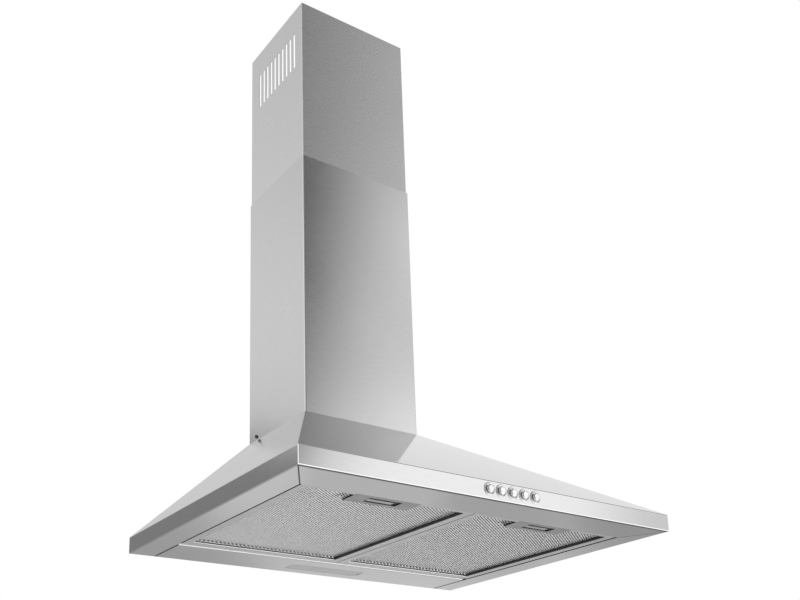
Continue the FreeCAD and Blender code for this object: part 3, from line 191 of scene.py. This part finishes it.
class Nodes:
    """A shader tree with short calls that add a node and fill or link its inputs."""

    def __init__(self, tree):
        self.tree = tree
        tree.nodes.clear()

    def add(self, kind, inputs=None, **settings):
        """A new node; each input is a plain value or an output of another node."""
        node = self.tree.nodes.new("ShaderNode" + kind)
        for name, value in settings.items():
            setattr(node, name, value)
        for name, value in (inputs or {}).items():
            if isinstance(value, bpy.types.NodeSocket):
                self.tree.links.new(value, node.inputs[name])
            else:
                node.inputs[name].default_value = value
        return node

    def place(self):
        """The point's place in the hood's own frame."""
        return self.add("TexCoord").outputs["Object"]

    def dot(self, vector, direction):
        return self.add("VectorMath", {0: vector, 1: direction}, operation="DOT_PRODUCT").outputs["Value"]

    def combine(self, operation, *values):
        return self.add("Math", dict(enumerate(values)), operation=operation).outputs[0]

    def mean(self, first, second):
        both = self.combine("ADD", first, second)
        return self.combine("MULTIPLY", both, 0.5)

    def ramp(self, value, low, high, span=(0, 1), **settings):
        """A number that goes from low to high as a value crosses a span, and stays level beyond it."""
        inputs = {"Value": value, "From Min": span[0], "From Max": span[1], "To Min": low, "To Max": high}
        return self.add("MapRange", inputs, **settings).outputs["Result"]

    def spread(self, texture, low, high):
        """A texture's value moved to the range from low to high."""
        return self.ramp(texture, low, high, TEXTURE_SPAN)

    def tint(self, texture, low, high):
        """A texture's value as a colour between two colours."""
        scale = self.add("ValToRGB", {"Fac": texture})
        for stop, place, colour in zip(scale.color_ramp.elements, TEXTURE_SPAN, (low, high)):
            stop.position = place
            stop.color = (*colour, 1)
        return scale.outputs["Color"]

    def noise(self, vector, scale, detail=3):
        inputs = {"Vector": vector, "Scale": scale, "Detail": detail}
        return self.add("TexNoise", inputs).outputs["Fac"]

    def bump(self, height, strength, distance=RELIEF_DEPTH):
        inputs = {"Height": height, "Strength": strength, "Distance": distance}
        return self.add("Bump", inputs).outputs["Normal"]


def grey(tone):
    return (tone, tone, tone)


def new_material(name):
    material = bpy.data.materials.new(name)
    material.use_nodes = True
    return material, Nodes(material.node_tree)


def surface(nodes, inputs):
    shader = nodes.add("BsdfPrincipled", inputs)
    nodes.add("OutputMaterial", {"Surface": shader.outputs["BSDF"]})


def painted_shade_lines(nodes, place, rise):
    """Mask of the painted shade lines: 1 on the fold under the canopy's front edge and on the mitres of its
    flanges, 0 elsewhere.
    """
    low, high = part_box("canopy_front_panel")
    behind = nodes.dot(place, (0, 1, 0))
    near_fold = nodes.ramp(behind, 1.0, 0.0, [low.y + depth for depth in FOLD_DEPTHS])
    fold = nodes.ramp(rise, near_fold, 0.0, PAINTED_SHADE_RISE)

    # both mitres are one line once left and right are folded together
    normal = Vector((MITRE_RUN[1], MITRE_RUN[0], 0)).normalized()
    corner = Vector((high.x, low.y + MITRE_SHIFT, 0))
    mirrored = nodes.add("VectorMath", {0: place}, operation="ABSOLUTE").outputs[0]
    sideways = nodes.dot(mirrored, (normal.x, 0, 0))
    backward = nodes.dot(place, (0, normal.y, 0))
    along_normal = nodes.combine("ADD", sideways, backward)
    offset = nodes.combine("SUBTRACT", along_normal, normal.dot(corner))
    distance = nodes.combine("ABSOLUTE", offset)
    at_mitre = nodes.ramp(behind, 1.0, 0.0, [low.y + depth for depth in SEAM_DEPTHS])
    near_seam = nodes.ramp(distance, at_mitre, 0.0, SEAM_HALF_WIDTHS)
    seam = nodes.ramp(rise, near_seam, 0.0, PAINTED_SHADE_RISE)
    return nodes.combine("MAXIMUM", fold, seam)


def brushed_steel(name, sheet):
    """Stainless sheet with fine streaks along one direction, and painted shade lines along its fold and mitres."""
    streak_rate = 55
    line_rate = 640
    fine_rate = 1900
    wear_rate = 7
    smoother = 0.03
    rougher = 0.04
    material, nodes = new_material(name)
    place = nodes.place()
    rise = nodes.dot(place, (0, 0, 1))
    length = nodes.dot(place, Vector(sheet.along) * streak_rate)
    width = nodes.dot(place, Vector(sheet.across) * line_rate)
    fine_width = nodes.dot(place, Vector(sheet.across) * fine_rate)
    streaks = nodes.noise(nodes.add("CombineXYZ", {"X": length, "Y": width}).outputs[0], 1)
    lines = nodes.noise(nodes.add("CombineXYZ", {"X": length, "Y": fine_width}).outputs[0], 1)
    grain = nodes.mean(streaks, lines)
    wear = nodes.mean(grain, nodes.noise(place, wear_rate))
    steel = nodes.tint(grain, grey(sheet.tone - sheet.streak), grey(sheet.tone + sheet.streak))
    # painted shade: near-black lines along the front fold and the mitres stand in for the shadow in the gaps there
    colours = {"Fac": painted_shade_lines(nodes, place, rise), "Color1": steel, "Color2": (*grey(PAINTED_SHADE_TONE), 1)}
    inputs = {
        "Base Color": nodes.add("MixRGB", colours).outputs[0],
        "Metallic": 1.0,
        "Roughness": nodes.spread(wear, sheet.roughness - smoother, sheet.roughness + rougher),
        "Normal": nodes.bump(streaks, strength=sheet.relief),
    }
    if sheet.grazing < 1:
        inputs["Specular Tint"] = nodes.ramp(rise, 1.0, sheet.grazing, BAND_TOP)
    surface(nodes, inputs)
    return material


def galvanised(name):
    """Zinc-coated sheet with its large pale crystals."""
    crystal_rate = 110
    pit_rate = 260
    shares = (0.4, 0.35, 0.25)
    material, nodes = new_material(name)
    place = nodes.place()
    cells = nodes.add("TexVoronoi", {"Vector": place, "Scale": crystal_rate}).outputs["Color"]
    tone = nodes.dot(cells, shares)
    surface(nodes, {
        "Base Color": nodes.tint(tone, (0.43, 0.44, 0.45), (0.56, 0.57, 0.58)),
        "Metallic": 1.0,
        "Roughness": nodes.spread(tone, 0.34, 0.5),
        "Normal": nodes.bump(nodes.noise(place, pit_rate), strength=0.1),
    })
    return material


def polished(name, low, high, roughness):
    """Plated or drawn bright metal with faint wipe marks."""
    wipe_rate = 90
    polish_rate = 900
    wiped_factor = 1.7
    material, nodes = new_material(name)
    place = nodes.place()
    smudge = nodes.noise(place, wipe_rate)
    surface(nodes, {
        "Base Color": nodes.tint(smudge, low, high),
        "Metallic": 1.0,
        "Roughness": nodes.spread(smudge, roughness, roughness * wiped_factor),
        "Normal": nodes.bump(nodes.noise(place, polish_rate), strength=0.03, distance=FINE_RELIEF_DEPTH),
    })
    return material


def filter_aluminium(name, low, high):
    """Pressed aluminium with a faint drawn grain along the frames."""
    grain_rates = (40, 400, 400)
    cloud_rate = 60
    material, nodes = new_material(name)
    place = nodes.place()
    drawn = nodes.add("VectorMath", {0: place, 1: grain_rates}, operation="MULTIPLY").outputs[0]
    grain = nodes.noise(drawn, 1)
    surface(nodes, {
        "Base Color": nodes.tint(grain, low, high),
        "Metallic": 1.0,
        "Roughness": nodes.spread(nodes.noise(place, cloud_rate), 0.26, 0.4),
        "Normal": nodes.bump(grain, strength=0.08),
    })
    return material


def knitted_core(name):
    """Packed layers of mesh behind the face, near-black as painted shade of their depth: slanted cells of two dark
    tones.
    """
    slant_rate = 150
    slant = 0.9
    cell_rate = 1.3
    wire_rate = 400
    material, nodes = new_material(name)
    place = nodes.place()
    left = nodes.dot(place, Vector((1, slant, 0)) * slant_rate)
    right = nodes.dot(place, Vector((1, -slant, 0)) * slant_rate)
    crossed = nodes.add("CombineXYZ", {"X": left, "Y": right}).outputs[0]
    cells = nodes.add("TexVoronoi", {"Vector": crossed, "Scale": cell_rate}).outputs["Distance"]
    surface(nodes, {
        # painted shade: near-black cells with little shine stand in for the shade inside the packed layers
        "Base Color": nodes.tint(cells, grey(0.05), grey(0.03)),
        "Roughness": nodes.spread(nodes.noise(place, wire_rate), 0.7, 0.9),
        "Specular IOR Level": 0.05,
    })
    return material


def moulded(name, low, high, roughness, grain_rate=1400):
    """Moulded plastic, rubber or paint with a fine grain."""
    cloud_rate = 45
    smoother = 0.06
    rougher = 0.08
    material, nodes = new_material(name)
    place = nodes.place()
    grain = nodes.noise(place, grain_rate)
    surface(nodes, {
        "Base Color": nodes.tint(nodes.noise(place, cloud_rate), low, high),
        "Roughness": nodes.spread(grain, roughness - smoother, roughness + rougher),
        "Normal": nodes.bump(grain, strength=0.12),
    })
    return material


def frosted_lens(name):
    """Pale diffusing plastic with a satin skin."""
    prism_rate = 2200
    cloud_rate = 30
    scatter_depth = 4 * MM
    material, nodes = new_material(name)
    place = nodes.place()
    prisms = nodes.noise(place, prism_rate)
    surface(nodes, {
        "Base Color": nodes.tint(nodes.noise(place, cloud_rate), grey(0.38), grey(0.44)),
        "Roughness": nodes.spread(prisms, 0.22, 0.36),
        "Subsurface Weight": 0.25,
        "Subsurface Radius": (scatter_depth, scatter_depth, scatter_depth),
        "Normal": nodes.bump(prisms, strength=0.08),
    })
    return material


def make_finishes():
    """One material for each finish of the record that isn't brushed sheet."""
    return {
        "galvanised_steel": galvanised("galvanised_steel"),
        "chrome_trim": polished("chrome_trim", grey(0.68), grey(0.76), 0.16),
        "button_chrome": polished("button_chrome", grey(0.66), grey(0.74), 0.09),
        "filter_aluminium": filter_aluminium("filter_aluminium", grey(0.47), grey(0.54)),
        "spring_steel": polished("spring_steel", grey(0.4), grey(0.52), 0.24),
        "zinc_screws": polished("zinc_screws", (0.56, 0.56, 0.54), (0.66, 0.66, 0.64), 0.22),
        "black_screws": moulded("black_screws", grey(0.012), grey(0.03), 0.38),
        "black_plastic": moulded("black_plastic", grey(0.018), grey(0.032), 0.45),
        "white_plastic": moulded("white_plastic", grey(0.62), grey(0.7), 0.4),
        "motor_paint": moulded("motor_paint", (0.05, 0.055, 0.06), (0.08, 0.085, 0.09), 0.36, 500),
        "frosted_lens": frosted_lens("frosted_lens"),
        "black_rubber": moulded("black_rubber", grey(0.014), grey(0.026), 0.72, 900),
        "lead_sheath": moulded("lead_sheath", grey(0.5), grey(0.58), 0.42, 700),
    }


def dress_nodes(finishes):
    """Give every node of the frame its material, mostly that of its slot in the record."""
    core = knitted_core("filter_core")
    # painted shade: darker copies of the filter aluminium for the latch's slider and plate, standing in for the
    # shade of the latch's recess
    slider = filter_aluminium("latch_slider_shaded", grey(0.38), grey(0.44))
    plate = filter_aluminium("latch_plate_shaded", grey(0.26), grey(0.31))
    for part in frame["record"]["subparts"]:
        name = part["node"]
        slot = part["material_slot"]
        if name in SHEETS:
            material = brushed_steel("stainless_" + name, SHEETS[name])
        elif name.endswith("_core"):
            material = core
        elif name.endswith("_latch_housing"):
            material = plate
        elif name.endswith("_latch"):
            material = slider
        else:
            material = finishes[slot]
        mesh = frame["nodes"][name].data
        mesh.materials.clear()
        mesh.materials.append(material)


def clip(start, direction, low, high):
    """The span of a line's parameter inside a rectangle, or None."""
    first, last = -math.inf, math.inf
    for axis in (0, 1):
        ends = [(side[axis] - start[axis]) / direction[axis] for side in (low, high)]
        first = max(first, min(ends))
        last = min(last, max(ends))
    return (first, last) if last > first else None


def strand_spans(start, direction, low, high, notch_low, notch_high):
    """Spans of one strand inside the mesh's rectangle and outside the latch's notch."""
    whole = clip(start, direction, low, high)
    if whole is None:
        return []
    hole = clip(start, direction, notch_low, notch_high)
    if hole is None or hole[0] >= whole[1] or hole[1] <= whole[0]:
        return [whole]
    spans = [(whole[0], hole[0]), (hole[1], whole[1])]
    return [span for span in spans if span[1] - span[0] > STRAND_WIDTH]


def join_rings(mesh, near, far):
    """Faces between two rings of points."""
    for index, corner in enumerate(near):
        following = (index + 1) % len(near)
        mesh.faces.new((corner, near[following], far[following], far[index]))


def close_tube(mesh, near, far):
    """Faces between two rings of points, and over both ends."""
    join_rings(mesh, near, far)
    mesh.faces.new(reversed(near))
    mesh.faces.new(far)


def add_piece(name, mesh, material):
    """A new object of the scene from a finished mesh."""
    data = bpy.data.meshes.new(name)
    mesh.to_mesh(data)
    mesh.free()
    data.materials.append(material)
    piece = bpy.data.objects.new(name, data)
    bpy.context.scene.collection.objects.link(piece)
    return piece


def add_strand(mesh, first, last, twist):
    """One flat strand between two points, turned about its own length."""
    along = (last - first).normalized()
    side = along.cross(Vector((0, 0, 1))).normalized()
    turn = Matrix.Rotation(twist, 3, along)
    half_width = turn @ side * (STRAND_WIDTH / 2)
    half_thickness = turn @ Vector((0, 0, STRAND_THICKNESS / 2))
    rings = []
    for end in (first, last):
        corners = [
            end + half_width + half_thickness,
            end + half_width - half_thickness,
            end - half_width - half_thickness,
            end - half_width + half_thickness,
        ]
        rings.append([mesh.verts.new(corner) for corner in corners])
    close_tube(mesh, *rings)


def strand_points(left, right, latch_end, rear):
    """A strand's points from left to right; a long one dips at the latch plate's end and at the rear."""
    length = (right - left).length
    if length < 2 * DIP_LENGTH:
        return [left, right]
    drop = Vector((0, 0, -DIP_DEPTH))
    rear_drop = Vector((0, 0, -REAR_DIP_DEPTH))
    share = DIP_LENGTH / length
    rear_share = REAR_DIP_LENGTH / length
    points = [left]
    if left.y > rear - NEAR:
        points = [left + rear_drop, left.lerp(right, rear_share)]
    if right.y > rear - NEAR:
        return points + [left.lerp(right, 1 - rear_share), right + rear_drop]
    if abs(right.x - latch_end.x) < NEAR and right.y > latch_end.y + FRONT_BORDER:
        return points + [left.lerp(right, 1 - share), right + drop]
    return points + [right]


def rear_wall(side):
    """Where the rear wall of a filter frame's opening lies."""
    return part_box(f"filter_{side}_mesh")[1].y + MESH_INSET - BORDER


def make_face_mesh(side, material):
    """Stretched-metal face of one grease filter, in the place of its plain sheet."""
    node = f"filter_{side}_mesh"
    low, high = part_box(node)
    latch_low, latch_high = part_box(f"filter_{side}_latch_housing")
    margin = Vector((NOTCH_MARGIN, NOTCH_MARGIN, 0))
    notch_low = latch_low - margin
    notch_high = latch_high + margin
    middle = (low.z + high.z) / 2
    rear = rear_wall(side) - MESH_END_GAP
    reach = Vector((high.x, rear, high.z))
    mesh = bmesh.new()
    rows = math.ceil((high.y - low.y) / DIAMOND_Y)
    columns = math.ceil((high.x - low.x) / DIAMOND_X)
    for lean, twist in ((1, RISING_TWIST), (-1, FALLING_TWIST)):
        direction = Vector((lean * DIAMOND_X, DIAMOND_Y, 0)).normalized()
        for column in range(-rows, columns + rows):
            start = Vector((low.x + column * DIAMOND_X, low.y, middle))
            for span in strand_spans(start, direction, low, reach, notch_low, notch_high):
                left, right = sorted((start + direction * place for place in span), key=lambda end: end.x)
                points = strand_points(left, right, notch_low, rear)
                for first, last in zip(points, points[1:]):
                    add_strand(mesh, first, last, twist)
    bmesh.ops.recalc_face_normals(mesh, faces=mesh.faces)
    piece = add_piece(f"filter_{side}_lattice", mesh, material)
    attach(piece, f"filter_{side}")
    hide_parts(node)


def add_strip(mesh, first, last, outward, height):
    """Half-round strip on an upright wall, from its lower edge up, between two points."""
    rings = []
    for end in (first, last):
        ring = []
        for step in range(STRIP_STEPS + 1):
            turn = math.pi * step / STRIP_STEPS
            rise = Vector((0, 0, height * (1 - math.cos(turn)) / 2))
            ring.append(mesh.verts.new(end + outward * math.sin(turn) + rise))
        rings.append(ring)
    close_tube(mesh, *rings)


def finish_strips(name, mesh, body, material):
    """One piece that rides on a body, from the strips or rings of a mesh."""
    bmesh.ops.recalc_face_normals(mesh, faces=mesh.faces)
    piece = add_piece(name, mesh, material)
    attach(piece, body)


def make_shadow_strips(side, rubber, aluminium):
    """Black strips of painted shade on the walls of a filter frame's opening and at the left end of its latch
    plate.
    """
    low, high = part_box(f"filter_{side}_frame")
    plate_low, plate_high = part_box(f"filter_{side}_latch_housing")
    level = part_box(f"filter_{side}_mesh")[0].z
    front = low.y + FRONT_BORDER
    rear = rear_wall(side)
    left = low.x + BORDER
    right = high.x - BORDER
    bottom = low.z + STRIP_GAP
    mesh = bmesh.new()
    # painted shade: black strips on the side walls stand in for the shadow in the gaps along them
    for wall, toward in ((left, 1), (right, -1)):
        ends = [Vector((wall, y, bottom)) for y in (front, rear)]
        add_strip(mesh, *ends, Vector((toward * SHADE_STRIP_THICKNESS, 0, 0)), level - bottom)
    toward_front = Vector((0, -STRIP_GAP, 0))
    # painted shade: black strip along the rear wall, above the bright trim
    ends = [Vector((x, rear, low.z + TRIM_HEIGHT)) for x in (left, right)]
    add_strip(mesh, *ends, toward_front, REAR_SHADE_HEIGHT)
    # painted shade: black edge at the latch plate's open left end
    edge = plate_low.z + SHADE_EDGE_LEVELS[0]
    ends = [Vector((plate_low.x, y, edge)) for y in (front, plate_high.y)]
    add_strip(mesh, *ends, Vector((-SHADE_EDGE_THICKNESS, 0, 0)), SHADE_EDGE_LEVELS[1] - SHADE_EDGE_LEVELS[0])
    finish_strips(f"filter_{side}_shadow_strips", mesh, f"filter_{side}", rubber)

    mesh = bmesh.new()
    ends = [Vector((x, rear, low.z)) for x in (left, right)]
    add_strip(mesh, *ends, toward_front, TRIM_HEIGHT)
    finish_strips(f"filter_{side}_trim", mesh, f"filter_{side}", aluminium)


def make_shadow_ring(side, plastic):
    """Thin black ring of painted shade under a latch's slider, round its finger pad."""
    low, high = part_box(f"filter_{side}_latch")
    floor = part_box(f"filter_{side}_latch_housing")[0].z
    middle = (low.x + high.x) / 2 - PAD_SHIFT
    top = floor + SLIDER_LEVEL
    outer_low = (low.x + SHADOW_RING_MARGIN, high.y - SLIDER_DEPTH + SHADOW_RING_MARGIN)
    outer_high = (high.x - SHADOW_RING_MARGIN, high.y - SHADOW_RING_MARGIN)
    pad_low = (middle - PAD_LENGTH / 2 - PAD_FIT, high.y - PAD_INSET - PAD_WIDTH - PAD_FIT)
    pad_high = (middle + PAD_LENGTH / 2 + PAD_FIT, high.y - PAD_INSET + PAD_FIT)
    mesh = bmesh.new()
    rings = []
    for (x0, y0), (x1, y1) in ((outer_low, outer_high), (pad_low, pad_high)):
        for z in (top - SHADOW_RING_THICKNESS, top):
            corners = ((x0, y0), (x1, y0), (x1, y1), (x0, y1))
            rings.append([mesh.verts.new((x, y, z)) for x, y in corners])
    outer_under, outer_over, pad_under, pad_over = rings
    loop = (outer_under, pad_under, pad_over, outer_over, outer_under)
    for near, far in zip(loop, loop[1:]):
        join_rings(mesh, near, far)
    # painted shade: the black ring stands in for the shadow seen through the latch's slot
    finish_strips(f"filter_{side}_shadow_ring", mesh, f"latch_{side}", plastic)


def make_bay_shadow_strips(rubber):
    """Half-round black strips of painted shade on the canopy's side lips, beside the filter frames."""
    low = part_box("filter_left_frame")[0]
    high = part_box("filter_right_frame")[1]
    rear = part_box("lamp_panel")[0].y - BAY_SHADE_GAP
    bottom, top = BAY_SHADE_LEVELS
    mesh = bmesh.new()
    # painted shade: black strips in the gaps beside the filter frames
    for wall, toward in ((low.x, -1), (high.x, 1)):
        lip = wall + toward * (BAY_SHADE_GAP + BAY_SHADE_WIDTH)
        ends = [Vector((lip, y, bottom)) for y in (low.y, rear)]
        add_strip(mesh, *ends, Vector((-toward * BAY_SHADE_WIDTH, 0, 0)), top - bottom)
    finish_strips("bay_shadow_strips", mesh, "canopy", rubber)


def make_coils():
    """Return springs of the buttons, copied as pieces with meshes of their own that ride on the canopy."""
    for joint in frame["joints"]:
        if not joint["name"].endswith("_press"):
            continue
        node = joint["child"] + "_spring"
        solid = frame["nodes"][node]
        piece = bpy.data.objects.new(joint["child"] + "_coil", solid.data.copy())
        bpy.context.scene.collection.objects.link(piece)
        piece.matrix_world = solid.matrix_world
        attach(piece, "canopy")
        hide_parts(node)
        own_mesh(piece)


def direction_to(azimuth, elevation):
    """Unit vector to a part of the room; azimuth in degrees from the front, positive to the right."""
    turn, rise = math.radians(azimuth), math.radians(elevation)
    return Vector((math.sin(turn) * math.cos(rise), -math.cos(turn) * math.cos(rise), math.sin(rise)))


def room_patch(nodes, heading, below, patch):
    """The room's tone with one soft-edged round patch of another tone laid over it."""
    closeness = nodes.dot(heading, direction_to(patch.azimuth, patch.elevation))
    edge = [math.cos(math.radians(radius)) for radius in (patch.outer, patch.inner)]
    weight = nodes.ramp(closeness, 0.0, 1.0, edge, interpolation_type="SMOOTHSTEP")
    return nodes.ramp(weight, below, patch.tone)


def make_world():
    """White behind the hood, the room with its patches in the metal, and plain light on matt surfaces."""
    world = bpy.data.worlds.new("studio")
    world.use_nodes = True
    world.cycles.sampling_method = "NONE"
    bpy.context.scene.world = world
    nodes = Nodes(world.node_tree)
    heading = nodes.add("TexCoord").outputs["Generated"]
    rise = nodes.dot(heading, (0, 0, 1))
    ground = nodes.ramp(rise, NEAR_GROUND_TONE, GROUND_TONE, NEAR_GROUND_EDGE)
    tone = nodes.ramp(rise, ground, ROOM_TONE, GROUND_EDGE)
    for patch in ROOM_PATCHES.values():
        tone = room_patch(nodes, heading, tone, patch)
    path = nodes.add("LightPath").outputs
    mirrored = nodes.combine("MAXIMUM", path["Is Glossy Ray"], path["Is Transmission Ray"])
    light = nodes.ramp(mirrored, PLAIN_LIGHT, tone)
    strength = nodes.ramp(path["Is Camera Ray"], light, WHITE)
    background = nodes.add("Background", {"Color": (1, 1, 1, 1), "Strength": strength})
    nodes.add("OutputWorld", {"Surface": background.outputs["Background"]})


def make_floor():
    """Pale floor well below the hood, fading to the white of the room."""
    mesh = bmesh.new()
    bmesh.ops.create_circle(mesh, cap_ends=True, segments=FLOOR_SIDES, radius=FLOOR_REACH)
    data = bpy.data.meshes.new("floor")
    mesh.to_mesh(data)
    mesh.free()
    floor = bpy.data.objects.new("floor", data)
    floor.location = (0, 0, -FLOOR_DROP)
    # the room's lower half stands for the floor in the metal
    floor.visible_glossy = False
    bpy.context.scene.collection.objects.link(floor)

    cloud_rate = 3
    material, nodes = new_material("floor")
    place = nodes.place()
    clouds = nodes.noise(place, cloud_rate)
    paint = nodes.add("BsdfDiffuse", {"Color": nodes.tint(clouds, grey(0.88), grey(0.92))})
    white = nodes.add("Emission", {"Color": (1, 1, 1, 1)})
    away = nodes.add("VectorMath", {0: place}, operation="LENGTH").outputs["Value"]
    fade = nodes.ramp(away, 0.0, 1.0, FLOOR_FADE)
    seen = nodes.add("LightPath").outputs["Is Camera Ray"]
    weight = nodes.combine("MULTIPLY", fade, seen)
    mixed = nodes.add("MixShader", {0: weight, 1: paint.outputs[0], 2: white.outputs[0]})
    nodes.add("OutputMaterial", {"Surface": mixed.outputs[0]})
    data.materials.append(material)


def make_camera():
    """Camera at the photograph's view: below the hood, to the left of its middle."""
    level_forward = Vector((-math.sin(VIEW_TURN), math.cos(VIEW_TURN), 0))
    forward = level_forward * math.cos(VIEW_TILT) - Vector((0, 0, math.sin(VIEW_TILT)))
    level = forward.cross(Vector((0, 0, 1))).normalized()
    down = forward.cross(level)
    right = level * math.cos(VIEW_ROLL) + down * math.sin(VIEW_ROLL)
    up = level * math.sin(VIEW_ROLL) - down * math.cos(VIEW_ROLL)
    data = bpy.data.cameras.new("camera")
    data.sensor_fit = "HORIZONTAL"
    data.sensor_width = SENSOR_WIDTH
    data.lens = FOCAL_PIXELS * SENSOR_WIDTH / IMAGE_WIDTH
    data.shift_x = (IMAGE_WIDTH / 2 - CENTRE_PIXEL[0]) / IMAGE_WIDTH
    data.shift_y = (CENTRE_PIXEL[1] - IMAGE_HEIGHT / 2) / IMAGE_WIDTH
    camera = bpy.data.objects.new("camera", data)
    turn = Matrix((right, up, -forward)).transposed().to_4x4()
    camera.matrix_world = Matrix.Translation(VIEW_TARGET - forward * VIEW_DISTANCE) @ turn
    bpy.context.scene.collection.objects.link(camera)
    bpy.context.scene.camera = camera


bpy.context.scene.view_settings.view_transform = "Standard"
make_camera()
make_world()
make_floor()
finishes = make_finishes()
dress_nodes(finishes)
bright = filter_aluminium("filter_lattice", grey(0.92), grey(0.98))
for side in ("left", "right"):
    make_face_mesh(side, bright)
    make_shadow_strips(side, finishes["black_rubber"], bright)
    make_shadow_ring(side, finishes["black_plastic"])
make_bay_shadow_strips(finishes["black_rubber"])
make_coils()
